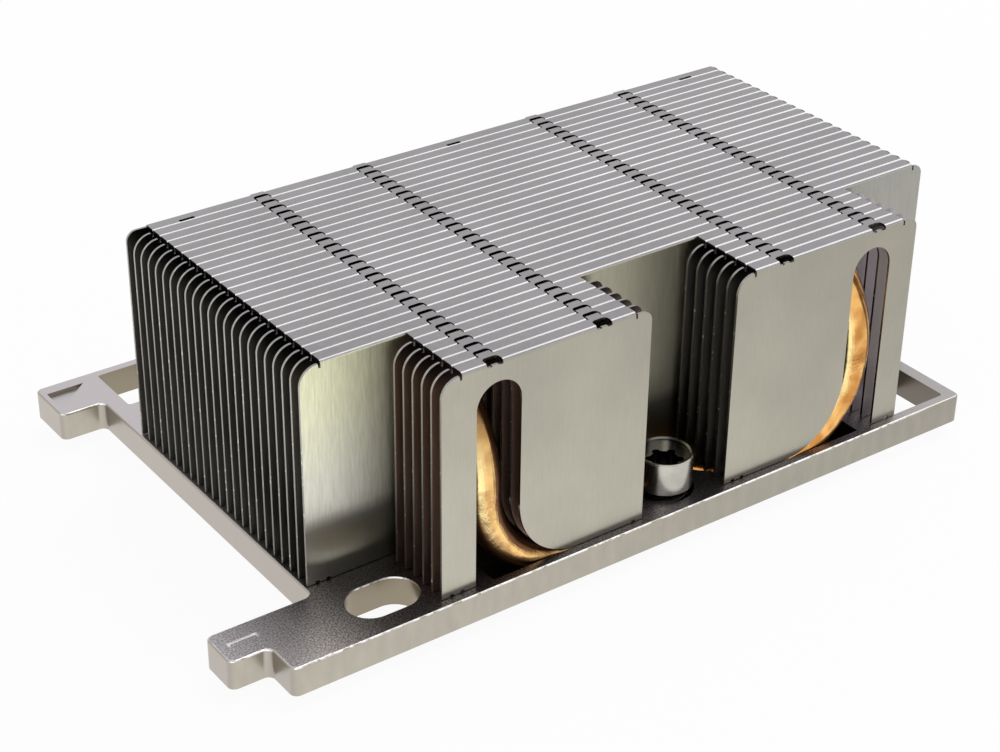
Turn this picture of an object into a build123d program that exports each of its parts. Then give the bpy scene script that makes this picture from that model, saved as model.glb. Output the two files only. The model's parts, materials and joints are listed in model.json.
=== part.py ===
"""Passive server CPU heatsink: stacked sheet fins, two flattened heat pipes and a milled base.

Frame, in millimetres: the origin is the centre of the face that presses on the processor,
+X runs along the fins to the plain end of the base, +Y runs from the two short fin blocks
to the rear edge, and +Z points up to the folded fin tops.
"""
import math
import os

from build123d import *

# Fin stack
FIN_PITCH = 2.0
FIN_THICKNESS = 0.35
FIN_HEIGHT = 31.8
MAIN_FIN_COUNT = 23
MAIN_FIN_LENGTH = 103.2
FRONT_FIN_COUNT = 6
LEFT_BLOCK_INNER = 7.5
RIGHT_BLOCK_INNER = 6.8
FRONT_BLOCK_LENGTH = 31.9
FIRST_FIN_INSET = 1.4
SOLDER_LINE = 0.1

# Folded top of a fin
FOLD_RADIUS = 0.5
FLANGE_END_GAP = 0.02
FREE_CORNER_RADIUS = 2.6
FREE_CORNER_INSET = 3.0
PLAIN_CORNER_RADIUS = 1.5
LONG_FOLD_GAP = 0.4
SHORT_FOLD_GAP = 1.1
CORNER_DROP = 0.35
RELIEF_WIDTH = 0.55
RELIEF_DEPTH = 0.6

# Interlocks that hook each fin into the one behind it
LOCK_ROWS = (15.05, 31.6)
LOCK_WINDOW_WIDTH = 2.4
LOCK_WINDOW_REACH = 1.4
LOCK_WINDOW_DROP = 0.6
LOCK_REST_WIDTH = 0.9
LOCK_REST_HEIGHT = 0.18
TONGUE_WIDTH = 2.0
TONGUE_FLAT_SHARE = 0.7
TONGUE_REACH = 1.05
TONGUE_DROP = 0.15
TONGUE_THICKNESS = 0.3
TONGUE_ROOT = 0.3

# Narrow slots in the fold of the last folded fin
END_SLOT_INSET = 8.3
END_SLOT_LENGTH = 2.3
END_SLOT_WIDTH = 0.5
END_SLOT_SETBACK = 0.3
END_SLOT_DEPTH = 0.25

# Notches in the foot of a fin
FOOT_NOTCH_WIDTH = 0.6
FOOT_NOTCH_HEIGHT = 0.3
FOOT_NOTCH_INSET = 1.5
FOOT_NOTCH_SPACING = 1.6

# Slot in the short fins
PIPE_SLOT_OFFSET = 30.9
PIPE_SLOT_WIDTH = 6.7
PIPE_SLOT_HEIGHT = 28.95
PIPE_SLOT_SWEEP_RADIUS = 9.7

# Heat pipes
RISER_X = 31.5
RISER_THICKNESS = 5.3
RISER_WIDTH = 6.3
FLAT_HEIGHT = 3.0
FLAT_WIDTH = 7.1
RISER_INSET = 5.0
LOWER_BEND_RADIUS = 13.5
UPPER_BEND_RADIUS = 14.0
UPPER_BEND_START = 12.3
PLAN_BEND_RADIUS = 12.0
EVAPORATOR_SPACING = 11.2
EVAPORATOR_END_INSET = 4.0
PIPE_OVERHANG = 2.0
PIPE_NOSE_LENGTH = 2.5
PIPE_NOSE_SCALE = 0.45
PIPE_COVER = 0.1
PIPE_CLEARANCE = 0.06
BEND_SECTIONS = 5

# Base plate
BASE_THICKNESS = 4.2
BASE_DEPTH = 77.2
BASE_LEFT = 52.1
BASE_RIGHT = 50.75
BASE_CORNER_RADIUS = 1.0
BASE_EDGE_RADIUS = 0.3
FRONT_LUG_LENGTH = 9.7
FRONT_LUG_DEPTH = 11.7
LUG_TIP_LENGTH = 5.5
LUG_TIP_DEPTH = 6.3
REAR_LUG_LENGTH = 6.6
REAR_LUG_DEPTH = 8.7
WINDOW_SIZE = 9.9
WINDOW_RAIL = 1.5
WINDOW_RIGHT_INSET = 2.2
WINDOW_LEFT_INSET = 2.6
WINDOW_CORNER_RADIUS = 0.5
GUIDE_SLOT_LENGTH = 10.3
GUIDE_SLOT_WIDTH = 6.8
GUIDE_SLOT_INSET_X = 7.0
GUIDE_SLOT_INSET_Y = 6.3
GUIDE_SLOT_BREAK = 0.15
GROOVE_FLOOR_GAP = 0.05
POCKET_WIDTH = 7.3
POCKET_RUNOUT = 0.7

# Index marks on the lugs
REAR_MARK_LENGTH = 5.7
REAR_MARK_WIDTH = 5.0
REAR_MARK_INSET_X = 0.9
REAR_MARK_INSET_Y = 2.1
REAR_MARK_DEPTH = 0.5
FRONT_MARK_LENGTH = 4.3
FRONT_MARK_WIDTH = 0.45
FRONT_MARK_HOOK = 1.0
FRONT_MARK_INSET_X = 1.5
FRONT_MARK_INSET_Y = 2.6
FRONT_MARK_DEPTH = 0.25

# Contact plate
CONTACT_LENGTH = 58.0
CONTACT_DEPTH = 44.0
CONTACT_THICKNESS = 2.0
CONTACT_CORNER_RADIUS = 2.0
CONTACT_EDGE_BREAK = 0.3

# Captive screws
SCREW_INSET = 6.1
HEAD_DIAMETER = 7.8
HEAD_HEIGHT = 4.9
HEAD_LIFT = 0.6
CUP_DIAMETER = 6.7
CUP_DEPTH = 1.3
LOBE_COUNT = 6
LOBE_OUTER_DIAMETER = 5.2
LOBE_INNER_DIAMETER = 3.9
LOBE_RADIUS = 0.6
LOBE_DEPTH = 2.2
LOBE_TURN = 24.0
HEAD_EDGE_BREAK = 0.2
SHANK_DIAMETER = 4.4
THREAD_DIAMETER = 4.0
TIP_LIFT = 0.3
TIP_BREAK = 0.4
SHANK_CLEARANCE = 0.2
COUNTERBORE_DIAMETER = 8.4
COUNTERBORE_DEPTH = 3.0

# Retaining rings
RING_THICKNESS = 0.5
RING_OUTER_DIAMETER = 7.0
RING_NECK_DIAMETER = 3.2
RING_RUNNING_GAP = 0.05
RING_MOUTH = 2.6

# Screw springs
SPRING_WIRE = 0.6
SPRING_WIRE_SIDES = 10
SPRING_MEAN_DIAMETER = 6.2
SPRING_TURNS = 2.5
SPRING_END_GAP = 0.05

# Levels and places that follow from the sizes above
BASE_BOTTOM = CONTACT_THICKNESS
BASE_TOP = BASE_BOTTOM + BASE_THICKNESS
FIN_FOOT = BASE_TOP + SOLDER_LINE
FIN_TOP = BASE_TOP + FIN_HEIGHT
FRONT_EDGE = -BASE_DEPTH / 2
REAR_EDGE = BASE_DEPTH / 2
FIRST_FIN = FRONT_EDGE + FIRST_FIN_INSET
FIRST_MAIN_FIN = FIRST_FIN + FRONT_FIN_COUNT * FIN_PITCH
LAST_FIN = FIRST_MAIN_FIN + (MAIN_FIN_COUNT - 1) * FIN_PITCH
RISER_Y = FRONT_EDGE + RISER_INSET
EVAPORATOR_X = EVAPORATOR_SPACING / 2
FLAT_LEVEL = BASE_TOP - PIPE_COVER - FLAT_HEIGHT / 2
UPPER_BEND_Z = BASE_TOP + UPPER_BEND_START
UPPER_BEND_Y = RISER_Y + UPPER_BEND_RADIUS
TOP_RUN_Z = UPPER_BEND_Z + UPPER_BEND_RADIUS
PLAN_BEND_X = EVAPORATOR_X + PLAN_BEND_RADIUS
PLAN_BEND_Y = RISER_Y + PLAN_BEND_RADIUS
LOWER_BEND_X = RISER_X - LOWER_BEND_RADIUS
LOWER_BEND_Z = FLAT_LEVEL + LOWER_BEND_RADIUS
EVAPORATOR_END = CONTACT_DEPTH / 2 - EVAPORATOR_END_INSET
SCREW_Y = BASE_DEPTH / 2 - SCREW_INSET
COUNTERBORE_FLOOR = BASE_TOP - COUNTERBORE_DEPTH
HEAD_BOTTOM = BASE_TOP + HEAD_LIFT


def box_between(low, high):
    """Block given by its lowest and highest corners."""
    size = [b - a for a, b in zip(low, high)]
    centre = [(a + b) / 2 for a, b in zip(low, high)]
    return Pos(*centre) * Box(*size)


def rectangle_between(x0, y0, x1, y1):
    """Flat rectangle given by two opposite corners."""
    return Pos((x0 + x1) / 2, (y0 + y1) / 2) * Rectangle(x1 - x0, y1 - y0)


def fin_web(left, right, fold_left, fold_right):
    """Upright sheet of one fin, with its rounded free corners and the reliefs beside the fold."""
    shoulder = FIN_TOP - CORNER_DROP
    fold_foot = FIN_TOP - FOLD_RADIUS
    relief_foot = FIN_TOP - CORNER_DROP - RELIEF_DEPTH
    cut = 1 - math.sqrt(0.5)
    left_low = (left, shoulder - FREE_CORNER_RADIUS)
    left_mid = (left + cut * FREE_CORNER_RADIUS, shoulder - cut * FREE_CORNER_RADIUS)
    left_high = (left + FREE_CORNER_RADIUS, shoulder)
    right_high = (right - PLAIN_CORNER_RADIUS, shoulder)
    right_mid = (right - cut * PLAIN_CORNER_RADIUS, shoulder - cut * PLAIN_CORNER_RADIUS)
    right_low = (right, shoulder - PLAIN_CORNER_RADIUS)
    outline = [
        Line((left, FIN_FOOT), left_low),
        ThreePointArc(left_low, left_mid, left_high),
        Polyline(
            left_high,
            (fold_left - RELIEF_WIDTH / 2, relief_foot),
            (fold_left, relief_foot),
            (fold_left, fold_foot),
            (fold_right, fold_foot),
            (fold_right, relief_foot),
            (fold_right + RELIEF_WIDTH / 2, relief_foot),
            (fold_right + RELIEF_WIDTH / 2, shoulder),
            right_high,
        ),
        ThreePointArc(right_high, right_mid, right_low),
        Polyline(right_low, (right, FIN_FOOT), (left, FIN_FOOT)),
    ]
    sheet = Plane.XZ * make_face(Curve() + outline)
    return extrude(sheet, amount=-FIN_THICKNESS)


def fold_profile():
    """Section across the folded top, from the upright sheet to the flange's rear edge."""
    inner = FOLD_RADIUS - FIN_THICKNESS
    centre = (FOLD_RADIUS, FIN_TOP - FOLD_RADIUS)
    reach = FIN_PITCH - FLANGE_END_GAP
    side = math.sqrt(0.5)
    outer_mid = (centre[0] - side * FOLD_RADIUS, centre[1] + side * FOLD_RADIUS)
    inner_mid = (centre[0] - side * inner, centre[1] + side * inner)
    outline = [
        ThreePointArc((0, centre[1]), outer_mid, (centre[0], FIN_TOP)),
        Polyline(
            (centre[0], FIN_TOP),
            (reach, FIN_TOP),
            (reach, FIN_TOP - FIN_THICKNESS),
            (centre[0], FIN_TOP - FIN_THICKNESS),
        ),
        ThreePointArc((centre[0], FIN_TOP - FIN_THICKNESS), inner_mid, (FIN_THICKNESS, centre[1])),
        Line((FIN_THICKNESS, centre[1]), (0, centre[1])),
    ]
    return make_face(Curve() + outline)


def along_x(section, left, right):
    """Section drawn in Y and Z, run from one X to another."""
    start = Plane(origin=(left, 0, 0), x_dir=(0, 1, 0), z_dir=(1, 0, 0))
    return extrude(start * section, amount=right - left)


def tongue(row, reach):
    """Tongue that runs on from the flange's rear edge and dips into the window of the fin behind."""
    root = FIN_PITCH - FLANGE_END_GAP - TONGUE_ROOT
    edge = FIN_PITCH + TONGUE_FLAT_SHARE * reach
    tip = FIN_PITCH + reach
    tip_top = FIN_TOP - TONGUE_DROP * reach / TONGUE_REACH
    section = make_face(
        Polyline(
            (root, FIN_TOP),
            (edge, FIN_TOP),
            (tip, tip_top),
            (tip, tip_top - TONGUE_THICKNESS),
            (edge, FIN_TOP - TONGUE_THICKNESS),
            (root, FIN_TOP - TONGUE_THICKNESS),
            close=True,
        )
    )
    strip = along_x(section, row - TONGUE_WIDTH / 2, row + TONGUE_WIDTH / 2)
    tip_edges = strip.edges().filter_by(lambda e: abs(e.center().Y - tip) < FLANGE_END_GAP / 2)
    upright = tip_edges.filter_by(Axis.Z)
    return fillet(upright, min(TONGUE_WIDTH / 3, reach / 2))


def lock_window(row):
    """Opening through the fold of a fin, where the tongue of the fin in front rests on a low step."""
    half = LOCK_WINDOW_WIDTH / 2
    foot = FIN_TOP - LOCK_WINDOW_DROP
    cutter = box_between(
        (row - half, -FIN_THICKNESS, foot),
        (row + half, LOCK_WINDOW_REACH, FIN_TOP + FIN_THICKNESS),
    )
    rear = cutter.edges().filter_by(Axis.Z).sort_by(Axis.Y)[-2:]
    rest = box_between(
        (row - LOCK_REST_WIDTH / 2, -FIN_THICKNESS, foot),
        (row + LOCK_REST_WIDTH / 2, FIN_THICKNESS, foot + LOCK_REST_HEIGHT),
    )
    return fillet(rear, half / 2) - rest


def end_slots(left, right):
    """Narrow slots along the fold, one near each end and one in the middle."""
    half = END_SLOT_LENGTH / 2
    foot = FIN_TOP - END_SLOT_DEPTH
    rear = END_SLOT_SETBACK + END_SLOT_WIDTH
    places = (left + END_SLOT_INSET, (left + right) / 2, right - END_SLOT_INSET)
    return [
        box_between((x - half, END_SLOT_SETBACK, foot), (x + half, rear, FIN_TOP + FIN_THICKNESS))
        for x in places
    ]


def foot_notches(left, right):
    """Small open notches in the foot of a fin, two near its left end and one near its right."""
    half = FOOT_NOTCH_WIDTH / 2
    first = left + FOOT_NOTCH_INSET
    places = (first, first + FOOT_NOTCH_SPACING, right - FOOT_NOTCH_INSET)
    low = -FIN_THICKNESS
    high = 2 * FIN_THICKNESS
    return [
        box_between((x - half, low, BASE_TOP), (x + half, high, FIN_FOOT + FOOT_NOTCH_HEIGHT))
        for x in places
    ]


def rows_between(left, right):
    """Interlock rows that fall on a fin."""
    rows = [side * row for side in (-1, 1) for row in LOCK_ROWS]
    return [row for row in rows if left < row < right]


def folded_fin(left, right, fold_gap, tongue_reach):
    """One fin with its folded top, windows and tongues, before any hole for a pipe."""
    rows = rows_between(left, right)
    fold_left = left + FREE_CORNER_INSET
    fold_right = right - PLAIN_CORNER_RADIUS - fold_gap
    fin = fin_web(left, right, fold_left, fold_right) + along_x(fold_profile(), fold_left, fold_right)
    fin = fin - ([lock_window(row) for row in rows] + foot_notches(left, right))
    return fin + [tongue(row, tongue_reach) for row in rows]


def plain_fin(left, right):
    """Rearmost fin: a flat sheet with a notch for each tongue that reaches it."""
    sheet = box_between((left, 0, FIN_FOOT), (right, FIN_THICKNESS, FIN_TOP - CORNER_DROP))
    corners = sheet.edges().filter_by(Axis.Y).group_by(Axis.Z)[-1]
    sheet = fillet(corners, PLAIN_CORNER_RADIUS)
    windows = [lock_window(row) for row in rows_between(left, right)]
    return sheet - (windows + foot_notches(left, right))


def upper_bend_height(reach, y):
    """Height of a circle about the upper bend's axis, at a distance y along the pipe."""
    run = min(0.0, y - UPPER_BEND_Y)
    return UPPER_BEND_Z + math.sqrt(max(0.0, reach * reach - run * run))


def pipe_hole(side, y):
    """Upright hole where a pipe passes through a long fin, longer where the pipe still rises."""
    low = upper_bend_height(UPPER_BEND_RADIUS - RISER_WIDTH / 2, y) - PIPE_CLEARANCE
    high = upper_bend_height(UPPER_BEND_RADIUS + RISER_WIDTH / 2, y + FIN_THICKNESS) + PIPE_CLEARANCE
    width = RISER_THICKNESS + 2 * PIPE_CLEARANCE
    centre = Plane(origin=(side * RISER_X, 0, (low + high) / 2), x_dir=(0, 0, 1), z_dir=(0, 1, 0))
    return extrude(centre * SlotOverall(high - low, width), amount=2 * FIN_THICKNESS, both=True)


def pipe_slot(side):
    """Arched slot of a short fin, whose inner edge sweeps out along the bend of the pipe."""
    half = PIPE_SLOT_WIDTH / 2
    spring_line = BASE_TOP + PIPE_SLOT_HEIGHT - half
    inner = PIPE_SLOT_OFFSET - half
    outer = PIPE_SLOT_OFFSET + half
    sweep_top = BASE_TOP + PIPE_SLOT_SWEEP_RADIUS
    cut = 1 - math.sqrt(0.5)
    sweep_mid = (inner - cut * PIPE_SLOT_SWEEP_RADIUS, BASE_TOP + cut * PIPE_SLOT_SWEEP_RADIUS)
    outline = [
        Line((outer, BASE_TOP), (outer, spring_line)),
        ThreePointArc((outer, spring_line), (PIPE_SLOT_OFFSET, spring_line + half), (inner, spring_line)),
        Line((inner, spring_line), (inner, sweep_top)),
        ThreePointArc((inner, sweep_top), sweep_mid, (inner - PIPE_SLOT_SWEEP_RADIUS, BASE_TOP)),
        Line((inner - PIPE_SLOT_SWEEP_RADIUS, BASE_TOP), (outer, BASE_TOP)),
    ]
    cutter = extrude(Plane.XZ * make_face(Curve() + outline), amount=2 * FIN_THICKNESS, both=True)
    return cutter if side > 0 else mirror(cutter, about=Plane.YZ)


def flat_section(plane):
    """Flattened section of a pipe, with its broad side along the plane's X."""
    return plane * SlotOverall(FLAT_WIDTH, FLAT_HEIGHT)


def riser_section(plane):
    """Slightly flattened section of a rising pipe, with its broad side along the plane's X."""
    return plane * SlotOverall(RISER_WIDTH, RISER_THICKNESS)


def lower_bend():
    """Bend from the flattened run up to the riser, through sections that grow rounder."""
    sections = []
    for step in range(BEND_SECTIONS):
        share = step / (BEND_SECTIONS - 1)
        angle = math.radians(90 * share)
        centre = (
            LOWER_BEND_X + LOWER_BEND_RADIUS * math.sin(angle),
            RISER_Y,
            LOWER_BEND_Z - LOWER_BEND_RADIUS * math.cos(angle),
        )
        plane = Plane(origin=centre, x_dir=(0, 1, 0), z_dir=(math.cos(angle), 0, math.sin(angle)))
        width = FLAT_WIDTH + (RISER_WIDTH - FLAT_WIDTH) * share
        height = FLAT_HEIGHT + (RISER_THICKNESS - FLAT_HEIGHT) * share
        sections.append(plane * SlotOverall(width, height))
    return loft(sections)


def pipe_nose(section, direction):
    """Crimped end of a pipe: the section drawn in to a smaller one."""
    start = Plane(origin=section, x_dir=direction[0], z_dir=(0, 1, 0))
    end = start.offset(PIPE_NOSE_LENGTH)
    width, height = direction[1]
    nose = SlotOverall(width * PIPE_NOSE_SCALE, height * PIPE_NOSE_SCALE)
    return loft([start * SlotOverall(width, height), end * nose])


def heat_pipe(side):
    """Heat pipe of one side, from over the processor, out to the front corner and back up high."""
    over_cpu = Plane(origin=(EVAPORATOR_X, PLAN_BEND_Y, FLAT_LEVEL), x_dir=(1, 0, 0), z_dir=(0, 1, 0))
    evaporator = extrude(flat_section(over_cpu), amount=EVAPORATOR_END - PLAN_BEND_Y)
    plan_axis = Axis((PLAN_BEND_X, PLAN_BEND_Y, FLAT_LEVEL), (0, 0, 1))
    plan_bend = revolve(flat_section(over_cpu), plan_axis, 90)
    run_start = Plane(origin=(PLAN_BEND_X, RISER_Y, FLAT_LEVEL), x_dir=(0, 1, 0), z_dir=(1, 0, 0))
    run = extrude(flat_section(run_start), amount=LOWER_BEND_X - PLAN_BEND_X)
    riser_start = Plane(origin=(RISER_X, RISER_Y, LOWER_BEND_Z), x_dir=(0, 1, 0), z_dir=(0, 0, 1))
    riser = extrude(riser_section(riser_start), amount=UPPER_BEND_Z - LOWER_BEND_Z)
    riser_end = riser_start.offset(UPPER_BEND_Z - LOWER_BEND_Z)
    upper_axis = Axis((RISER_X, UPPER_BEND_Y, UPPER_BEND_Z), (-1, 0, 0))
    upper_bend = revolve(riser_section(riser_end), upper_axis, 90)
    top_start = Plane(origin=(RISER_X, UPPER_BEND_Y, TOP_RUN_Z), x_dir=(0, 0, 1), z_dir=(0, 1, 0))
    top_end = LAST_FIN + FIN_THICKNESS + PIPE_OVERHANG
    top_run = extrude(riser_section(top_start), amount=top_end - UPPER_BEND_Y)
    top_nose = pipe_nose((RISER_X, top_end, TOP_RUN_Z), ((0, 0, 1), (RISER_WIDTH, RISER_THICKNESS)))
    low_nose = pipe_nose((EVAPORATOR_X, EVAPORATOR_END, FLAT_LEVEL), ((1, 0, 0), (FLAT_WIDTH, FLAT_HEIGHT)))
    pipe = evaporator + [plan_bend, run, lower_bend(), riser, upper_bend, top_run, top_nose, low_nose]
    return pipe if side > 0 else mirror(pipe, about=Plane.YZ)


def pipe_groove():
    """Groove that takes the flattened pipes, with a wider pocket under each bend."""
    half = FLAT_WIDTH / 2 + PIPE_CLEARANCE
    ring = Circle(PLAN_BEND_RADIUS + half) - Circle(PLAN_BEND_RADIUS - half)
    reach = PLAN_BEND_RADIUS + half
    quarter = Pos(PLAN_BEND_X, PLAN_BEND_Y) * (ring & rectangle_between(-reach, -reach, 0, 0))
    groove_end = EVAPORATOR_END + PIPE_NOSE_LENGTH + POCKET_RUNOUT
    straight = rectangle_between(EVAPORATOR_X - half, PLAN_BEND_Y, EVAPORATOR_X + half, groove_end)
    depth = PIPE_COVER + FLAT_HEIGHT + GROOVE_FLOOR_GAP
    pocket_low = RISER_Y - POCKET_WIDTH / 2
    pocket = rectangle_between(PLAN_BEND_X, pocket_low, RISER_X, pocket_low + POCKET_WIDTH)
    plan = quarter + straight + pocket
    right = Pos(0, 0, BASE_TOP - depth) * extrude(plan, amount=2 * depth)
    return [right, mirror(right, about=Plane.YZ)]


def base_outline():
    """Plan of the base plate with its three lug steps."""
    left = -BASE_LEFT
    lug_left = left - FRONT_LUG_LENGTH
    lug_rear = FRONT_EDGE + FRONT_LUG_DEPTH
    plan = rectangle_between(left, FRONT_EDGE, BASE_RIGHT, REAR_EDGE)
    plan = plan + rectangle_between(lug_left, FRONT_EDGE, left, lug_rear)
    plan = plan + rectangle_between(lug_left - LUG_TIP_LENGTH, lug_rear - LUG_TIP_DEPTH, lug_left, lug_rear)
    plan = plan + rectangle_between(left - REAR_LUG_LENGTH, REAR_EDGE - REAR_LUG_DEPTH, left, REAR_EDGE)
    return fillet(plan.vertices(), BASE_CORNER_RADIUS)


def base_windows():
    """Two square windows at opposite corners of the base."""
    near_y = FRONT_EDGE + WINDOW_RAIL
    far_y = REAR_EDGE - WINDOW_RAIL
    right_x = BASE_RIGHT - WINDOW_RIGHT_INSET
    left_x = WINDOW_LEFT_INSET - BASE_LEFT
    front = rectangle_between(right_x - WINDOW_SIZE, near_y, right_x, near_y + WINDOW_SIZE)
    rear = rectangle_between(left_x, far_y - WINDOW_SIZE, left_x + WINDOW_SIZE, far_y)
    return [fillet(plan.vertices(), WINDOW_CORNER_RADIUS) for plan in (front, rear)]


def guide_slot_place():
    """Centre of the slotted guide hole."""
    return -BASE_LEFT + GUIDE_SLOT_INSET_X, FRONT_EDGE + GUIDE_SLOT_INSET_Y


def rear_mark():
    """Triangle on the rear lug, sunk along its rear side and rising to the surface at its front corner."""
    corner_x = -BASE_LEFT - REAR_LUG_LENGTH + REAR_MARK_INSET_X
    corner_y = REAR_EDGE - REAR_MARK_INSET_Y
    front_y = corner_y - REAR_MARK_WIDTH
    triangle = make_face(
        Polyline(
            (corner_x, corner_y),
            (corner_x, front_y),
            (corner_x + REAR_MARK_LENGTH, corner_y),
            close=True,
        )
    )
    ramp = make_face(
        Polyline(
            (corner_y, BASE_TOP - REAR_MARK_DEPTH),
            (corner_y, BASE_TOP + REAR_MARK_DEPTH),
            (front_y, BASE_TOP + REAR_MARK_DEPTH),
            (front_y, BASE_TOP),
            close=True,
        )
    )
    prism = Pos(0, 0, BASE_TOP - REAR_MARK_DEPTH) * extrude(triangle, amount=2 * REAR_MARK_DEPTH)
    return prism & along_x(ramp, corner_x, corner_x + REAR_MARK_LENGTH)


def front_mark():
    """Stroke engraved on the front lug, hooked forward at both ends."""
    left = -BASE_LEFT - FRONT_LUG_LENGTH - LUG_TIP_LENGTH + FRONT_MARK_INSET_X
    right = left + FRONT_MARK_LENGTH
    rear = FRONT_EDGE + FRONT_LUG_DEPTH - FRONT_MARK_INSET_Y
    stroke = rectangle_between(left, rear - FRONT_MARK_WIDTH, right, rear)
    left_hook = rectangle_between(left, rear - FRONT_MARK_HOOK, left + FRONT_MARK_WIDTH, rear)
    right_hook = rectangle_between(right - FRONT_MARK_WIDTH, rear - FRONT_MARK_HOOK, right, rear)
    return Pos(0, 0, BASE_TOP - FRONT_MARK_DEPTH) * extrude(
        stroke + [left_hook, right_hook], amount=2 * FRONT_MARK_DEPTH
    )


def base_plate():
    """Milled base with guide slot, windows, pipe grooves and counterbored screw holes."""
    plate = Pos(0, 0, BASE_BOTTOM) * extrude(base_outline(), amount=BASE_THICKNESS)
    plate = fillet(plate.faces().sort_by(Axis.Z)[-1].edges(), BASE_EDGE_RADIUS)
    slot_x, slot_y = guide_slot_place()
    windows = [Pos(0, 0, BASE_BOTTOM) * extrude(plan, amount=BASE_THICKNESS) for plan in base_windows()]
    slot = Pos(slot_x, slot_y) * SlotOverall(GUIDE_SLOT_LENGTH - 2 * GUIDE_SLOT_BREAK,
                                             GUIDE_SLOT_WIDTH - 2 * GUIDE_SLOT_BREAK)
    plate = plate - windows - Pos(0, 0, BASE_BOTTOM) * extrude(slot, amount=BASE_THICKNESS)
    rim = Pos(slot_x, slot_y) * SlotOverall(GUIDE_SLOT_LENGTH, GUIDE_SLOT_WIDTH)
    funnel = loft([Pos(0, 0, BASE_TOP - GUIDE_SLOT_BREAK) * slot, Pos(0, 0, BASE_TOP) * rim])
    plate = plate - funnel
    for side in (-1, 1):
        hole = Cylinder(SHANK_DIAMETER / 2 + SHANK_CLEARANCE, BASE_THICKNESS)
        bore = Cylinder(COUNTERBORE_DIAMETER / 2, COUNTERBORE_DEPTH)
        plate = plate - Pos(0, side * SCREW_Y, BASE_BOTTOM + BASE_THICKNESS / 2) * hole
        plate = plate - Pos(0, side * SCREW_Y, COUNTERBORE_FLOOR + COUNTERBORE_DEPTH / 2) * bore
    return plate - (pipe_groove() + [rear_mark(), front_mark()])


def contact_plate():
    """Copper plate that presses on the processor."""
    plan = fillet(Rectangle(CONTACT_LENGTH, CONTACT_DEPTH).vertices(), CONTACT_CORNER_RADIUS)
    plate = extrude(plan, amount=CONTACT_THICKNESS)
    return chamfer(plate.faces().sort_by(Axis.Z)[0].edges(), CONTACT_EDGE_BREAK)


def lobed_socket():
    """Six-lobed drive recess, cut down from the floor of the head's cup."""
    star = Circle(LOBE_INNER_DIAMETER / 2)
    reach = LOBE_OUTER_DIAMETER / 2 - LOBE_RADIUS
    for lobe in range(LOBE_COUNT):
        angle = LOBE_TURN + 360 * lobe / LOBE_COUNT
        star = star + Rot(0, 0, angle) * (Pos(reach, 0) * Circle(LOBE_RADIUS))
    return star


def captive_screw(side):
    """Shouldered screw with a cupped head, a neck for its retaining ring and a threaded tip."""
    head_top = HEAD_BOTTOM + HEAD_HEIGHT
    cup_floor = head_top - CUP_DEPTH
    neck_top = BASE_BOTTOM + RING_RUNNING_GAP
    neck_foot = BASE_BOTTOM - RING_THICKNESS - RING_RUNNING_GAP
    half_break = HEAD_EDGE_BREAK
    profile = make_face(
        Polyline(
            (0, TIP_LIFT),
            (THREAD_DIAMETER / 2 - TIP_BREAK, TIP_LIFT),
            (THREAD_DIAMETER / 2, TIP_LIFT + TIP_BREAK),
            (THREAD_DIAMETER / 2, neck_foot),
            (RING_NECK_DIAMETER / 2, neck_foot),
            (RING_NECK_DIAMETER / 2, neck_top),
            (SHANK_DIAMETER / 2, neck_top),
            (SHANK_DIAMETER / 2, HEAD_BOTTOM),
            (HEAD_DIAMETER / 2 - half_break, HEAD_BOTTOM),
            (HEAD_DIAMETER / 2, HEAD_BOTTOM + half_break),
            (HEAD_DIAMETER / 2, head_top - half_break),
            (HEAD_DIAMETER / 2 - half_break, head_top),
            (CUP_DIAMETER / 2 + half_break, head_top),
            (CUP_DIAMETER / 2, head_top - half_break),
            (CUP_DIAMETER / 2, cup_floor),
            (0, cup_floor),
            close=True,
        )
    )
    body = revolve(Plane.XZ * profile, Axis.Z, 360)
    socket = Pos(0, 0, cup_floor - LOBE_DEPTH) * extrude(lobed_socket(), amount=LOBE_DEPTH)
    return Pos(0, side * SCREW_Y) * (body - socket)


def retaining_ring(side):
    """Flat open ring that clips into the screw's neck under the base."""
    gap = RING_NECK_DIAMETER / 2 + RING_RUNNING_GAP
    plan = Circle(RING_OUTER_DIAMETER / 2) - Circle(gap)
    plan = plan - rectangle_between(-RING_MOUTH / 2, -RING_OUTER_DIAMETER, RING_MOUTH / 2, 0)
    ring = extrude(plan, amount=RING_THICKNESS)
    return Pos(0, side * SCREW_Y, BASE_BOTTOM - RING_THICKNESS) * ring


def screw_spring(side):
    """Coil spring between the floor of the counterbore and the underside of the head."""
    low = COUNTERBORE_FLOOR + SPRING_END_GAP + SPRING_WIRE / 2
    high = HEAD_BOTTOM - SPRING_END_GAP - SPRING_WIRE / 2
    rise = high - low
    helix = Helix(pitch=rise / SPRING_TURNS, height=rise, radius=SPRING_MEAN_DIAMETER / 2)
    start = Plane(origin=helix @ 0, z_dir=helix % 0)
    coil = sweep(start * RegularPolygon(SPRING_WIRE / 2, SPRING_WIRE_SIDES), path=helix)
    return Pos(0, side * SCREW_Y, low) * coil


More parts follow.
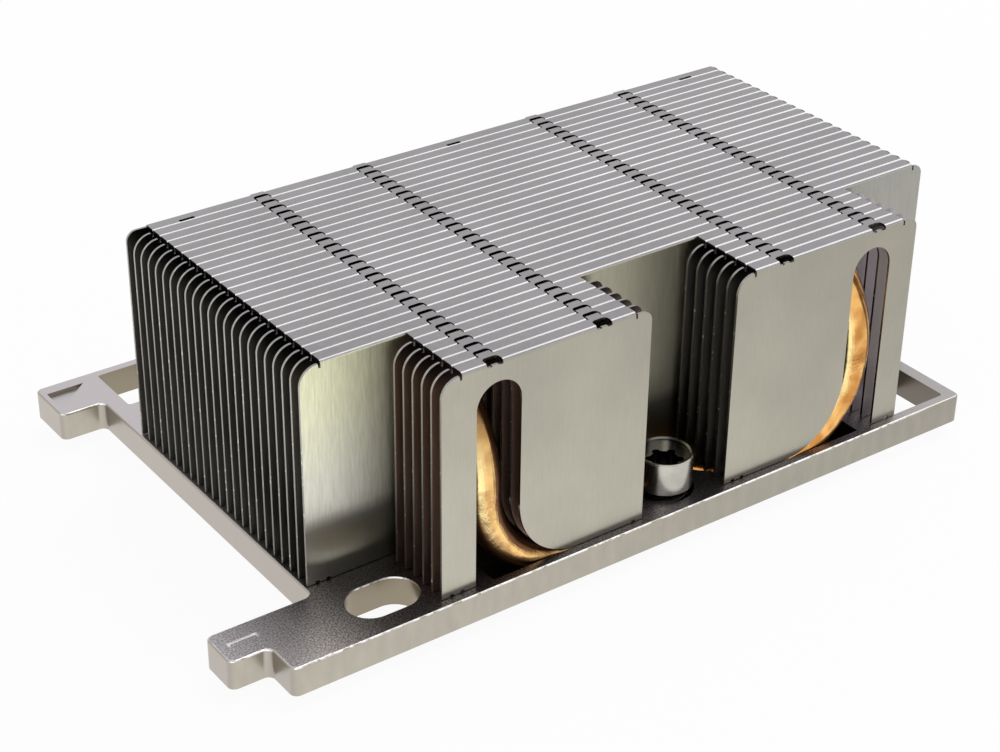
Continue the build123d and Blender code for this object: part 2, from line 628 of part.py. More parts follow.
def fins():
    """Every fin, by name: the long ones, then the short ones of each front block."""
    pieces = {}
    half = MAIN_FIN_LENGTH / 2
    long_fin = folded_fin(-half, half, LONG_FOLD_GAP, TONGUE_REACH)
    last_folded = folded_fin(-half, half, LONG_FOLD_GAP, FIN_THICKNESS) - end_slots(-half, half)
    blanks = [long_fin] * (MAIN_FIN_COUNT - 2) + [last_folded, plain_fin(-half, half)]
    for number, blank in enumerate(blanks):
        y = FIRST_MAIN_FIN + number * FIN_PITCH
        holes = [pipe_hole(side, y) for side in (-1, 1)]
        pieces[f"main_fin_{number + 1:02d}"] = Pos(0, y, 0) * (blank - holes)
    blocks = {"left": (-1, -LEFT_BLOCK_INNER - FRONT_BLOCK_LENGTH), "right": (1, RIGHT_BLOCK_INNER)}
    for name, (side, left) in blocks.items():
        right = left + FRONT_BLOCK_LENGTH
        short_fin = folded_fin(left, right, SHORT_FOLD_GAP, TONGUE_REACH) - pipe_slot(side)
        for number in range(FRONT_FIN_COUNT):
            y = FIRST_FIN + number * FIN_PITCH
            pieces[f"{name}_front_fin_{number + 1:02d}"] = Pos(0, y, 0) * short_fin
    return pieces


def build():
    """Every piece of the heatsink by its name."""
    pieces = {"base_plate": base_plate(), "contact_plate": contact_plate()}
    pieces["left_heat_pipe"] = heat_pipe(-1)
    pieces["right_heat_pipe"] = heat_pipe(1)
    for name, side in (("front", -1), ("rear", 1)):
        pieces[f"{name}_captive_screw"] = captive_screw(side)
        pieces[f"{name}_screw_spring"] = screw_spring(side)
        pieces[f"{name}_retaining_ring"] = retaining_ring(side)
    pieces.update(fins())
    return pieces


os.makedirs("parts", exist_ok=True)
for piece_name, piece in build().items():
    export_step(piece, f"parts/{piece_name}.step")
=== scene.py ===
import json
import math

import bpy
from mathutils import Matrix, Vector


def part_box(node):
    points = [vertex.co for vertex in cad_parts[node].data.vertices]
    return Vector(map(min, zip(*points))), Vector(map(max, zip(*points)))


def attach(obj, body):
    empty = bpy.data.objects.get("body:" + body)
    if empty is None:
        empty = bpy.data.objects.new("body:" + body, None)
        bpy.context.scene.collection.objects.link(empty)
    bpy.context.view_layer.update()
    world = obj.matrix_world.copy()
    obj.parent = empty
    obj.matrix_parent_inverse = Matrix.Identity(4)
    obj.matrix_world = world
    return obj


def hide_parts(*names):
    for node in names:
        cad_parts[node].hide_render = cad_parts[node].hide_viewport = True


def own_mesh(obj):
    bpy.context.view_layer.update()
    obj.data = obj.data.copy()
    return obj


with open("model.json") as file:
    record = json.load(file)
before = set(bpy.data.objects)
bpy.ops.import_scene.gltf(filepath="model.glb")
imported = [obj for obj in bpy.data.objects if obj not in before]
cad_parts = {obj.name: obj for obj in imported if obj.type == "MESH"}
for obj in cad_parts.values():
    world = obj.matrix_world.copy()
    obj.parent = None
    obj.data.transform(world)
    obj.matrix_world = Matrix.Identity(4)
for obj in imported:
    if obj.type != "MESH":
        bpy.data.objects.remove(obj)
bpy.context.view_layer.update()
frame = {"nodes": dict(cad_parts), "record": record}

MM = 0.001

# Sizes read from the model
BASE_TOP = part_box("base_plate")[1][2]
FIN_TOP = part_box("main_fin_01")[1][2]
HEAD_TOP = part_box("front_captive_screw")[1][2]
SCREW_Y = -(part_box("front_captive_screw")[0][1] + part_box("front_captive_screw")[1][1]) / 2

# Places that the colours follow
BORE_REACH = (50.4 * MM, 37.4 * MM)
CUP_RADIUS = 3.5 * MM
CUP_FLOOR = HEAD_TOP - 1.35 * MM
HEAD_FOOT = HEAD_TOP - 5 * MM
MARK_X = (-66.4 * MM, -61 * MM)
MARK_Y = (-31.2 * MM, -29 * MM)
MARK_FLOOR = BASE_TOP - 0.2 * MM
MARK_BLUR = 0.2 * MM
PIPE_SPLIT = 1 * MM

# Camera, fitted to the straight edges of the object, with its turns in degrees
CAMERA_PLACE = (-163.08 * MM, -218.79 * MM, 167.21 * MM)
CAMERA_AZIMUTH = -36.0504
CAMERA_ELEVATION = 30.33
CAMERA_ROLL = 0.724
CAMERA_LENS = 78.33
CAMERA_SENSOR = 36
CAMERA_NEAR = 10 * MM

# Studio, with its lamps in metres and watts
WORLD_SOFT = 0.55
FLOOR_SIZE = 6.0
FLOOR_PAINT = (0.85, 0.85, 0.85, 1.0)
FLOOR_SHINE = 0.94
WHITE = (1.0, 1.0, 1.0, 1.0)
LAMP_AIM = (0, 0, 0.02)
KEY_PLACE = (0.55, 0.05, 0.86)
KEY_SIZE = (0.75, 1.0)
KEY_POWER = 5.6
FILL_PLACE = (-0.7, -0.75, 0.55)
FILL_SIZE = (0.5, 0.5)
FILL_POWER = 1.6

# Surface relief, and the way that the grain of the sheets runs
GRAIN_WAY = (1.0, 0.02, 0.03)
GRAIN_DEPTH = 0.00001
BLAST_DEPTH = 0.00005
DENT_DEPTH = 0.00016
HEAD_TURNING_DEPTH = 0.0000015
GRINDING_DEPTH = 0.000006
STEEL_DEPTH = 0.000002

# Colours, as linear red, green and blue
SHADOW = (0.03, 0.028, 0.026)
SCREW_LOW = (0.44, 0.43, 0.38)
SCREW_HIGH = (0.54, 0.52, 0.46)
SHEET_LOW = (0.43, 0.415, 0.345)
SHEET_HIGH = (0.50, 0.475, 0.395)
# Webs of fins inside the stacks: near black, painted shade of the gaps between fins
SHEET_INNER = (0.15, 0.143, 0.125)
# Left block webs: painted reflection of the copper pipe, darkened as painted shade
SHEET_BROWN = (0.24, 0.15, 0.11)
# Right block webs: SHEET_DARK is painted shade, SHEET_VIOLET a painted reflection
SHEET_DARK = (0.20, 0.19, 0.17)
SHEET_VIOLET = (0.64, 0.59, 0.61)
# Long front fin: painted reflection colours
WALL_GREEN = (0.97, 0.97, 0.68)
WALL_PALE = (0.79, 0.78, 0.68)
WALL_BROWN = (0.58, 0.55, 0.42)
WALL_GREY = (0.50, 0.49, 0.45)
FLANGE_LOW = (0.27, 0.262, 0.275)
FLANGE_HIGH = (0.325, 0.316, 0.33)
FLANGE_SPOT = (0.36, 0.345, 0.31)
# Sheared sheet edges: EDGE_LOW at the base is painted shade
EDGE_HIGH = (0.46, 0.44, 0.41)
EDGE_LOW = (0.20, 0.19, 0.17)
# Painted glint on the sheared edges
EDGE_GLINT = (0.95, 0.93, 0.88)
SIDE_LOW = (0.365, 0.342, 0.287)
SIDE_HIGH = (0.415, 0.385, 0.325)
# Base sides facing left: painted shade
LEFT_SIDE = (0.34, 0.305, 0.275)
# Bore walls: painted shade in the recesses, darker on the right
BORE = (0.25, 0.215, 0.16)
BORE_RIGHT = (0.20, 0.178, 0.15)
FACE_LOW = (0.17, 0.152, 0.168)
FACE_HIGH = (0.86, 0.79, 0.835)
FACE_PLAIN = (0.49, 0.457, 0.467)
FACE_PALE = (0.80, 0.77, 0.785)
FACE_RIGHT = (0.31, 0.295, 0.295)
# Painted highlight on the front edges and in the engraved mark
BASE_HIGHLIGHT = (0.90, 0.87, 0.88)
COPPER_DEEP = (0.66, 0.29, 0.07)
COPPER_BRIGHT = (0.98, 0.55, 0.18)
# Painted highlight on the pipes
COPPER_GLOW = (1.0, 0.80, 0.38)
# Dark red-brown of the pipes: oxide, and painted shade on their right and lower sides
OXIDE_SHADE_COLOUR = (0.10, 0.028, 0.012)
CONTACT_LOW = (0.66, 0.32, 0.19)
CONTACT_HIGH = (0.78, 0.42, 0.27)
CONTACT_STAIN = (0.30, 0.11, 0.05)
# Springs near black: painted shade under the screw heads
SPRING_LOW = (0.022, 0.021, 0.02)
SPRING_HIGH = (0.04, 0.039, 0.037)
RING_LOW = (0.34, 0.33, 0.32)
RING_HIGH = (0.42, 0.41, 0.39)


def add_camera():
    """Camera at the fitted place and turn."""
    az, el, roll = (math.radians(v) for v in (CAMERA_AZIMUTH, CAMERA_ELEVATION, CAMERA_ROLL))
    back = Vector((math.sin(az) * math.cos(el), -math.cos(az) * math.cos(el), math.sin(el)))
    right = Vector((math.cos(az), math.sin(az), 0))
    up = back.cross(right)
    turned_right = right * math.cos(roll) + up * math.sin(roll)
    turned_up = up * math.cos(roll) - right * math.sin(roll)
    data = bpy.data.cameras.new("camera")
    data.lens = CAMERA_LENS
    data.sensor_width = CAMERA_SENSOR
    data.clip_start = CAMERA_NEAR
    camera = bpy.data.objects.new("camera", data)
    turn = Matrix((turned_right, turned_up, back)).transposed().to_4x4()
    camera.matrix_world = Matrix.Translation(CAMERA_PLACE) @ turn
    bpy.context.collection.objects.link(camera)
    bpy.context.scene.camera = camera


class Nodes:
    """Short way to build a node material."""

    def __init__(self, name):
        self.material = bpy.data.materials.new(name)
        self.material.use_nodes = True
        self.tree = self.material.node_tree
        self.tree.nodes.clear()
        self.out = self.tree.nodes.new("ShaderNodeOutputMaterial")

    def add(self, kind, inputs=None, **settings):
        node = self.tree.nodes.new("ShaderNode" + kind)
        for key, value in settings.items():
            setattr(node, key, value)
        for key, value in (inputs or {}).items():
            self.put(node.inputs[key], value)
        return node

    def put(self, socket, value):
        if isinstance(value, bpy.types.NodeSocket):
            self.tree.links.new(value, socket)
        else:
            socket.default_value = value

    def math(self, operation, a, b=0.0):
        node = self.add("Math", operation=operation)
        self.put(node.inputs[0], a)
        self.put(node.inputs[1], b)
        return node.outputs[0]

    def plus(self, a, b):
        return self.math("ADD", a, b)

    def minus(self, a, b):
        return self.math("SUBTRACT", a, b)

    def inverse(self, share):
        return self.minus(1.0, share)

    def size(self, value):
        return self.math("ABSOLUTE", value)

    def product(self, *factors):
        value = factors[0]
        for factor in factors[1:]:
            value = self.math("MULTIPLY", value, factor)
        return value

    def greatest(self, *values):
        value = values[0]
        for other in values[1:]:
            value = self.math("MAXIMUM", value, other)
        return value

    def place(self):
        return self.add("TexCoord").outputs["Object"]

    def split(self, vector):
        return self.add("SeparateXYZ", {0: vector}).outputs

    def normal(self):
        return self.split(self.add("NewGeometry").outputs["True Normal"])

    def scaled(self, vector, scale):
        node = self.add("Mapping", {"Vector": vector})
        node.inputs["Scale"].default_value = scale
        return node.outputs[0]

    def noise(self, vector, scale, detail=3.0, roughness=0.5):
        inputs = {"Vector": vector, "Scale": scale, "Detail": detail, "Roughness": roughness}
        return self.add("TexNoise", inputs).outputs["Fac"]

    def ramp(self, value, low, high, out_low=0.0, out_high=1.0):
        inputs = {"Value": value, "From Min": low, "From Max": high, "To Min": out_low, "To Max": out_high}
        return self.add("MapRange", inputs).outputs["Result"]

    def band(self, value, ends, blur):
        low, high = ends
        return self.product(self.ramp(value, high, high - blur), self.ramp(value, low, low + blur))

    def opaque(self, value):
        return (*value, 1.0) if isinstance(value, tuple) and len(value) == 3 else value

    def mix(self, factor, a, b):
        """Sockets 6 and 7 are the two colours, and socket 2 is the mixed one."""
        node = self.add("Mix", {"Factor": factor, 6: self.opaque(a), 7: self.opaque(b)}, data_type="RGBA")
        return node.outputs[2]

    def bump(self, height, distance, strength):
        inputs = {"Height": height, "Distance": distance, "Strength": strength}
        return self.add("Bump", inputs).outputs[0]

    def surface(self, **values):
        node = self.add("BsdfPrincipled")
        for key, value in values.items():
            self.put(node.inputs[key.replace("_", " ")], self.opaque(value))
        self.tree.links.new(node.outputs[0], self.out.inputs[0])


def fin_material(name, paint_web, inner=True, rim_share=1.0, metallic=1.0):
    """Thin plated sheet: upright rolling grain, a calmer folded top, painted shade under the top of inner
    webs, and sheared edges with painted shade and painted glints.
    """
    m = Nodes(name)
    place = m.place()
    across, _, up = (m.size(part) for part in m.normal())
    x, _, height = m.split(place)
    top = m.product(m.ramp(up, 0.25, 0.7), m.ramp(m.normal()[2], -0.1, 0.1))
    edge = m.ramp(across, 0.5, 0.8)
    not_web = m.greatest(top, edge)
    grain = m.noise(m.scaled(place, (1.0, 1.0, 0.02)), 9000.0, 2.0, 0.5)
    streak = m.noise(m.scaled(place, (1.0, 1.0, 0.09)), 3600.0, 2.0, 0.6)
    cloud = m.noise(place, 70.0, 3.0)
    fine = m.noise(place, 900.0, 3.0)
    glint = m.ramp(m.noise(place, 1700.0, 1.0), 0.66, 0.72)
    flange = m.mix(m.ramp(cloud, 0.3, 0.7), FLANGE_LOW, FLANGE_HIGH)
    flange = m.mix(m.ramp(fine, 0.45, 0.7, 0.0, 0.5), flange, FLANGE_SPOT)
    web = paint_web(m, place, cloud, streak)
    if inner:
        # Painted shade: webs of inner fins darkened under their folded tops
        deep = m.ramp(height, FIN_TOP - 2.5 * MM, FIN_TOP - 0.8 * MM, 0.0, 0.85)
        web = m.mix(m.product(deep, m.ramp(x, 36 * MM, 34 * MM)), web, SHADOW)
    # Painted shade: sheared edges darker towards the base, and darker still by rim_share
    rim_low, rim_high = shade(EDGE_LOW, rim_share), shade(EDGE_HIGH, rim_share)
    rim = m.mix(m.ramp(height, BASE_TOP + 2 * MM, FIN_TOP - 6 * MM), rim_low, rim_high)
    # Painted glints: bright specks on the upper sheared edges
    glint = m.product(glint, m.ramp(height, FIN_TOP, FIN_TOP - 9 * MM, 0.0, 0.6))
    rim = m.mix(glint, rim, EDGE_GLINT)
    # Painted shade: the top half millimetre of the sheared edges, the ends of the folded tops
    rim = m.mix(m.ramp(height, FIN_TOP - 0.5 * MM, FIN_TOP - 0.4 * MM), rim, SHADOW)
    rough_web = m.ramp(grain, 0.3, 0.7, 0.30, 0.38)
    rough_top = m.ramp(fine, 0.3, 0.7, 0.22, 0.30)
    rough = m.plus(m.product(rough_web, m.inverse(top)), m.product(rough_top, top))
    m.surface(
        Base_Color=m.mix(edge, m.mix(top, web, flange), rim),
        Metallic=metallic,
        Roughness=m.greatest(rough, m.product(edge, 0.55)),
        Anisotropic=0.9,
        Tangent=m.add("CombineXYZ", dict(zip("XYZ", GRAIN_WAY))).outputs[0],
        Normal=m.bump(m.product(grain, m.inverse(not_web)), GRAIN_DEPTH, 1.0),
    )
    return m.material


def shade(colour, share):
    """Colour made darker by a share."""
    return tuple(share * part for part in colour)


def plain_web(low, high):
    """Painter of an upright sheet in two close tones."""
    def paint(m, place, cloud, streak):
        web = m.mix(m.ramp(cloud, 0.3, 0.7), low, high)
        return m.mix(m.ramp(streak, 0.35, 0.65, 0.0, 0.10), web, shade(low, 0.6))
    return paint


def right_web(m, place, cloud, streak):
    """Right block: painted shade at its left end, a painted violet grey reflection beside its slot."""
    return m.mix(m.ramp(m.split(place)[0], 20 * MM, 27 * MM), SHEET_DARK, SHEET_VIOLET)


def rear_web(m, place, cloud, streak):
    """Rear fin: painted shade on its inner face, plain sheet on the outside."""
    return m.mix(m.ramp(m.normal()[1], -0.1, 0.1), SHEET_INNER, SHEET_HIGH)


def wall_web(m, place, cloud, streak):
    """Long front fin: painted reflection, green to pale at its left end, brown in its middle, grey at its
    right end, with painted shade along its foot.
    """
    x, _, z = m.split(place)
    x = m.plus(x, m.product(streak, 2 * MM))
    free_end = m.mix(m.ramp(z, BASE_TOP + 14 * MM, BASE_TOP + 27 * MM), WALL_PALE, WALL_GREEN)
    web = m.mix(m.ramp(x, -42 * MM, -36 * MM), free_end, WALL_BROWN)
    web = m.mix(m.ramp(x, 10 * MM, 36 * MM), web, WALL_GREY)
    # Painted shade along the foot of the fin
    low = m.plus(z, m.product(cloud, 1.5 * MM))
    web = m.mix(m.ramp(low, BASE_TOP + 10.5 * MM, BASE_TOP + 8.5 * MM, 0.0, 0.5), web, SHADOW)
    return m.mix(m.ramp(streak, 0.35, 0.65, 0.0, 0.22), web, shade(WALL_BROWN, 0.6))


def base_material():
    """Milled base: satin sides with painted shade on those facing left, a blasted top with painted shade
    near the fins, bores with painted shade, and a painted highlight along the front edge and in the
    engraved mark.
    """
    m = Nodes("base_plate")
    place = m.place()
    x, y, level = m.split(place)
    across, along, up = m.normal()
    near_top = m.ramp(level, BASE_TOP - 0.75 * MM, BASE_TOP - 0.65 * MM)
    top = m.product(m.ramp(up, 0.90, 0.97), near_top)
    # Rounded front edges, which get the painted highlight
    corner = m.product(m.ramp(up, 0.3, 0.4), m.ramp(up, 0.92, 0.82), m.ramp(along, -0.2, -0.4))
    beside_screw = m.product(m.ramp(m.size(x), 9 * MM, 8 * MM), m.ramp(y, -38 * MM, -37.5 * MM))
    corner = m.product(corner, m.inverse(beside_screw), m.ramp(x, 46 * MM, 34 * MM))
    inset = m.greatest(m.minus(m.size(x), BORE_REACH[0]), m.minus(m.size(y), BORE_REACH[1]))
    bore = m.product(m.ramp(inset, 0.05 * MM, -0.05 * MM), m.inverse(top))
    blob = m.noise(place, 4200.0, 1.0, 0.5)
    speck = m.noise(place, 8000.0, 1.0, 0.5)
    cloud = m.noise(place, 120.0, 3.0)
    side_grain = m.noise(m.scaled(place, (1.0, 1.0, 0.3)), 700.0, 3.0)
    highlight_breakup = m.ramp(m.noise(place, 1100.0, 3.0), 0.35, 0.55)
    side = m.mix(m.ramp(side_grain, 0.3, 0.7), SIDE_LOW, SIDE_HIGH)
    # Painted shade on the sides facing left, then the same colour in random mottle on all sides
    side = m.mix(m.ramp(across, -0.4, -0.8, 0.0, 0.85), side, LEFT_SIDE)
    side = m.mix(m.ramp(cloud, 0.45, 0.75, 0.0, 0.35), side, LEFT_SIDE)
    mottle = m.plus(m.product(blob, 0.7), m.product(speck, 0.3))
    front = m.product(m.ramp(y, -8 * MM, -20 * MM), m.ramp(x, 44 * MM, 32 * MM))
    blasted = m.mix(m.ramp(mottle, 0.40, 0.60), FACE_LOW, FACE_HIGH)
    face = m.mix(m.product(front, 0.85), FACE_PLAIN, blasted)
    right_end = m.product(m.ramp(x, 34 * MM, 42 * MM), m.ramp(y, 20 * MM, 8 * MM))
    face = m.mix(right_end, face, FACE_RIGHT)
    lug = m.product(front, m.ramp(x, -52 * MM, -60 * MM))
    face = m.mix(m.product(lug, 0.35), face, FACE_PALE)
    # Painted shade: the front of the top darkened between the fin blocks, more next to the long front fin
    fin_shade = m.product(front, m.ramp(x, -57 * MM, -48 * MM), m.ramp(x, 44 * MM, 36 * MM))
    wall_shade = m.product(m.ramp(y, -34 * MM, -27 * MM), fin_shade)
    face = m.mix(m.product(fin_shade, 0.72), face, SHADOW)
    face = m.mix(m.product(wall_shade, 0.55), face, SHADOW)
    # Engraved mark on the front lug: its floor and the wall facing the front get the painted highlight
    mark = m.product(m.band(x, MARK_X, MARK_BLUR), m.band(y, MARK_Y, MARK_BLUR))
    sunk = m.product(m.ramp(up, 0.8, 0.9), m.ramp(level, MARK_FLOOR + 0.05 * MM, MARK_FLOOR))
    mark = m.product(mark, m.greatest(sunk, m.ramp(along, -0.5, -0.7)))
    # Painted shade on the bore walls, darker on the right
    bore_shade = m.mix(m.ramp(x, -10 * MM, 10 * MM), BORE, BORE_RIGHT)
    colour = m.mix(bore, m.mix(top, side, face), bore_shade)
    # Painted highlight on the front edges, broken up by noise, and in the mark
    colour = m.mix(m.greatest(m.product(corner, highlight_breakup), mark), colour, BASE_HIGHLIGHT)
    m.surface(
        Base_Color=colour,
        Metallic=1.0,
        Roughness=m.ramp(top, 0.0, 1.0, 0.30, 0.35),
        Normal=m.bump(m.product(mottle, top, front), BLAST_DEPTH, 1.0),
    )
    return m.material


def pipe_material():
    """Bare copper tube: golden where clean, softly dented, with a painted highlight, painted shade on its
    right and lower sides, and brown oxide where it was bent.
    """
    m = Nodes("pipe_copper")
    place = m.place()
    across, _, up = m.normal()
    x, _, z = m.split(place)
    cloud = m.noise(place, 260.0, 4.0, 0.6)
    dents = m.noise(place, 500.0, 1.5, 0.4)
    fine = m.noise(place, 4200.0, 2.0, 0.5)
    # Painted highlight: a bright stripe on faces turned to the front left, and the left pipe brighter
    # overall
    turned = m.size(m.plus(across, m.ramp(x, -PIPE_SPLIT, PIPE_SPLIT, 0.52, 0.74)))
    pipe_highlight = m.ramp(m.plus(turned, m.product(cloud, 0.5)), 0.52, 0.32)
    pipe_highlight = m.product(pipe_highlight, m.ramp(m.size(up), 0.5, 0.2))
    colour = m.mix(m.ramp(dents, 0.35, 0.65), COPPER_DEEP, COPPER_BRIGHT)
    colour = m.mix(m.ramp(x, PIPE_SPLIT, -PIPE_SPLIT, 0.0, 0.35), colour, COPPER_GLOW)
    colour = m.mix(pipe_highlight, colour, COPPER_GLOW)
    high = m.ramp(m.plus(z, m.product(cloud, 8 * MM)), BASE_TOP + 19 * MM, BASE_TOP + 27 * MM)
    high = m.product(high, m.ramp(x, -PIPE_SPLIT, PIPE_SPLIT, 1.0, 0.2))
    # Painted shade on faces turned right and on the underside; the upper part, upward faces of the left
    # pipe and random patches are oxide
    turned_right = m.minus(across, m.ramp(x, -PIPE_SPLIT, PIPE_SPLIT, 0.0, 0.28))
    right_side_shade = m.ramp(m.plus(turned_right, m.product(cloud, 0.5)), 0.28, 0.50)
    underside_shade = m.ramp(m.plus(up, m.product(cloud, -0.6)), -0.25, -0.50)
    above = m.ramp(m.plus(up, m.product(cloud, 0.4)), 0.75, 0.95)
    above = m.product(above, m.ramp(x, PIPE_SPLIT, -PIPE_SPLIT))
    patches = m.ramp(cloud, 0.60, 0.72)
    oxide_and_shade = m.greatest(
        m.product(high, 0.8),
        m.product(right_side_shade, 0.92),
        m.product(patches, 0.55),
        m.product(underside_shade, 0.9),
        m.product(above, 0.8),
    )
    height = m.plus(dents, m.product(fine, 0.06))
    m.surface(
        Base_Color=m.mix(oxide_and_shade, colour, OXIDE_SHADE_COLOUR),
        Metallic=1.0,
        Roughness=m.ramp(oxide_and_shade, 0.0, 1.0, 0.16, 0.36),
        Normal=m.bump(height, DENT_DEPTH, 0.5),
    )
    return m.material


def screw_material():
    """Turned head, bright outside, with painted shade in its cup, on the back of its top rim and in its
    drive socket.
    """
    m = Nodes("screw_steel")
    place = m.place()
    x, y, level = m.split(place)
    up = m.normal()[2]
    rings = m.noise(m.scaled(place, (0.02, 0.02, 1.0)), 5000.0, 2.0)
    cloud = m.noise(place, 400.0, 3.0)
    y_off = m.minus(m.size(y), SCREW_Y)
    radius = m.math("SQRT", m.plus(m.product(x, x), m.product(y_off, y_off)))
    inside = m.ramp(radius, CUP_RADIUS + 0.05 * MM, CUP_RADIUS - 0.05 * MM)
    in_head = m.ramp(level, HEAD_FOOT, HEAD_FOOT + 0.1 * MM)
    # Painted shade in the cup, on the back of the top rim and in the drive socket
    wall = m.product(inside, m.ramp(up, 0.5, 0.2), in_head)
    socket = m.product(inside, m.ramp(level, CUP_FLOOR, CUP_FLOOR - 0.05 * MM), in_head)
    rim = m.ramp(level, HEAD_TOP - 0.25 * MM, HEAD_TOP - 0.2 * MM)
    rim = m.product(rim, m.ramp(y, -SCREW_Y, 1 * MM - SCREW_Y))
    colour = m.mix(m.ramp(cloud, 0.3, 0.7), SCREW_LOW, SCREW_HIGH)
    colour = m.mix(m.product(wall, 0.75), colour, SHADOW)
    colour = m.mix(m.product(rim, 0.7), colour, SHADOW)
    colour = m.mix(m.product(socket, 0.85), colour, SHADOW)
    m.surface(
        Base_Color=colour,
        Metallic=1.0,
        Roughness=m.ramp(cloud, 0.3, 0.7, 0.20, 0.26),
        Normal=m.bump(rings, HEAD_TURNING_DEPTH, 0.5),
    )
    return m.material


def contact_material():
    """Ground copper plate with fine straight grinding marks."""
    m = Nodes("contact_plate")
    place = m.place()
    lines = m.noise(m.scaled(place, (0.03, 1.0, 1.0)), 5000.0, 3.0, 0.6)
    cloud = m.noise(place, 160.0, 4.0, 0.6)
    colour = m.mix(m.ramp(lines, 0.35, 0.65), CONTACT_LOW, CONTACT_HIGH)
    colour = m.mix(m.ramp(cloud, 0.58, 0.75, 0.0, 0.25), colour, CONTACT_STAIN)
    m.surface(
        Base_Color=colour,
        Metallic=1.0,
        Roughness=m.ramp(lines, 0.3, 0.7, 0.26, 0.36),
        Normal=m.bump(lines, GRINDING_DEPTH, 0.5),
    )
    return m.material


def steel_material(name, low, high, rough):
    """Turned or stamped plated steel."""
    m = Nodes(name)
    place = m.place()
    rings = m.noise(m.scaled(place, (0.1, 0.1, 1.0)), 6000.0, 2.0)
    cloud = m.noise(place, 400.0, 3.0)
    m.surface(
        Base_Color=m.mix(m.ramp(cloud, 0.3, 0.7), low, high),
        Metallic=1.0,
        Roughness=m.ramp(rings, 0.3, 0.7, rough - 0.03, rough + 0.05),
        Normal=m.bump(rings, STEEL_DEPTH, 0.5),
    )
    return m.material


def paint_nodes():
    """Gives each piece of the model its material."""
    by_slot = {
        # Fins inside the stacks get near-black webs: painted shade in the gaps
        "fin_sheet": fin_material("fin_sheet", plain_web(SHEET_INNER, SHEET_INNER)),
        "base_plate": base_material(),
        "contact_plate": contact_material(),
        "pipe_copper": pipe_material(),
        "screw_steel": screw_material(),
        "spring_steel": steel_material("spring_steel", SPRING_LOW, SPRING_HIGH, 0.4),
        "ring_steel": steel_material("ring_steel", RING_LOW, RING_HIGH, 0.36),
    }
    front = fin_material("fin_front", plain_web(SHEET_LOW, SHEET_HIGH), inner=False)
    # Left block: webs painted brown as a reflection of the copper and darkened as painted shade
    left = fin_material("fin_left_block", plain_web(SHEET_BROWN, SHEET_BROWN), metallic=0.92)
    # Right block: painted shade and painted reflection on its webs, painted shade on its edges
    right = fin_material("fin_right_block", right_web, rim_share=0.45)
    by_node = {f"left_front_fin_{number:02d}": left for number in range(2, 7)}
    by_node.update({f"right_front_fin_{number:02d}": right for number in range(2, 7)})
    by_node.update({"left_front_fin_01": front, "right_front_fin_01": front})
    by_node["main_fin_23"] = fin_material("fin_rear", rear_web)
    by_node["main_fin_01"] = fin_material("fin_wall", wall_web, inner=False)
    slots = {s["node"]: s["material_slot"] for s in frame["record"]["subparts"]}
    for name, piece in frame["nodes"].items():
        piece.data.materials.clear()
        piece.data.materials.append(by_node.get(name, by_slot[slots[name]]))


def add_springs():
    """Spring coils, each a copy of its rigid solid's mesh, hung on the heatsink body in place of the
    solid.
    """
    for side in ("front", "rear"):
        solid = frame["nodes"][f"{side}_screw_spring"]
        coil = bpy.data.objects.new(f"{side}_spring_coil", solid.data.copy())
        bpy.context.collection.objects.link(coil)
        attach(coil, "heatsink")
        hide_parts(solid.name)
        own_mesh(coil)


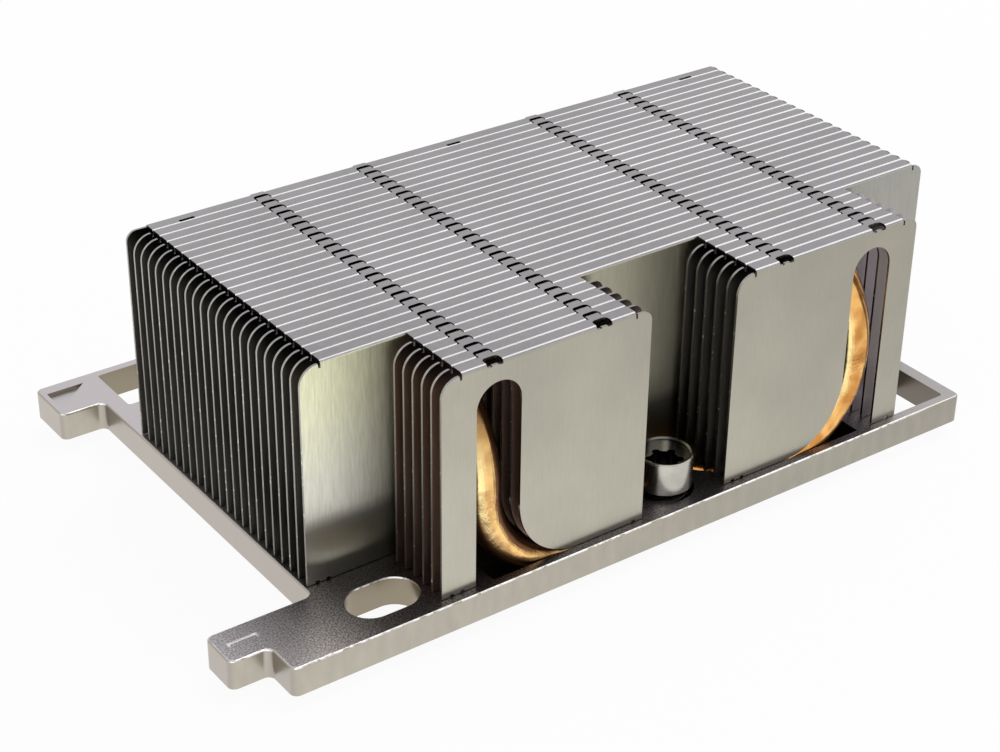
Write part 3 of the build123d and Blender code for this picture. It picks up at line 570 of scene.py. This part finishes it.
def add_floor():
    """Pale floor that shows white to the camera, shows metal a glow painted brighter on the left and
    dimmer to the right and front, and keeps a soft shadow.
    """
    bpy.ops.mesh.primitive_plane_add(size=FLOOR_SIZE, location=(0, 0, 0))
    floor = bpy.context.object
    floor.name = "floor"
    m = Nodes("floor_white")
    rays = m.add("LightPath").outputs
    seen = m.greatest(rays["Is Camera Ray"], rays["Is Glossy Ray"], rays["Is Transmission Ray"])
    paint = m.add("BsdfDiffuse", {"Color": FLOOR_PAINT})
    x, y, _ = m.split(m.place())
    # Painted light: the glow that metal sees is brighter on the left and dimmer to the right and front
    painted_light_gradient = m.product(
        m.ramp(x, -50 * MM, 100 * MM, 1.2, 0.83),
        m.ramp(x, -30 * MM, 5 * MM, 1.1, 1.0),
        m.ramp(y, -60 * MM, -95 * MM, 1.0, 0.9),
    )
    glossy = m.plus(1.0, m.product(m.minus(painted_light_gradient, 1.0), rays["Is Glossy Ray"]))
    glow = m.add("Emission", {"Color": WHITE, "Strength": glossy})
    share = m.product(seen, FLOOR_SHINE)
    blend = m.add("MixShader", {0: share, 1: paint.outputs[0], 2: glow.outputs[0]})
    m.tree.links.new(blend.outputs[0], m.out.inputs[0])
    floor.data.materials.append(m.material)


def add_world():
    """White surroundings for the eye and for metal, softer light for the rest."""
    world = bpy.data.worlds.new("studio")
    world.use_nodes = True
    bpy.context.scene.world = world
    tree = world.node_tree
    tree.nodes.clear()
    out = tree.nodes.new("ShaderNodeOutputWorld")
    rays = tree.nodes.new("ShaderNodeLightPath").outputs
    seen = rays["Is Camera Ray"]
    for kind in ("Is Glossy Ray", "Is Transmission Ray"):
        either = tree.nodes.new("ShaderNodeMath")
        either.operation = "MAXIMUM"
        tree.links.new(seen, either.inputs[0])
        tree.links.new(rays[kind], either.inputs[1])
        seen = either.outputs[0]
    blend = tree.nodes.new("ShaderNodeMixShader")
    tree.links.new(seen, blend.inputs[0])
    for socket, strength in zip((blend.inputs[1], blend.inputs[2]), (WORLD_SOFT, 1.0)):
        light = tree.nodes.new("ShaderNodeBackground")
        light.inputs[0].default_value = WHITE
        light.inputs[1].default_value = strength
        tree.links.new(light.outputs[0], socket)
    tree.links.new(blend.outputs[0], out.inputs[0])


def add_lamp(name, place, size, power):
    """Soft white rectangular lamp, turned to the object."""
    data = bpy.data.lights.new(name, "AREA")
    data.shape = "RECTANGLE"
    data.size, data.size_y = size
    data.energy = power
    lamp = bpy.data.objects.new(name, data)
    lamp.location = place
    lamp.rotation_euler = (Vector(LAMP_AIM) - Vector(place)).to_track_quat("-Z", "Y").to_euler()
    bpy.context.collection.objects.link(lamp)


bpy.context.scene.view_settings.view_transform = "Standard"
add_camera()
add_floor()
add_world()
add_lamp("key", KEY_PLACE, KEY_SIZE, KEY_POWER)
add_lamp("fill", FILL_PLACE, FILL_SIZE, FILL_POWER)
paint_nodes()
add_springs()
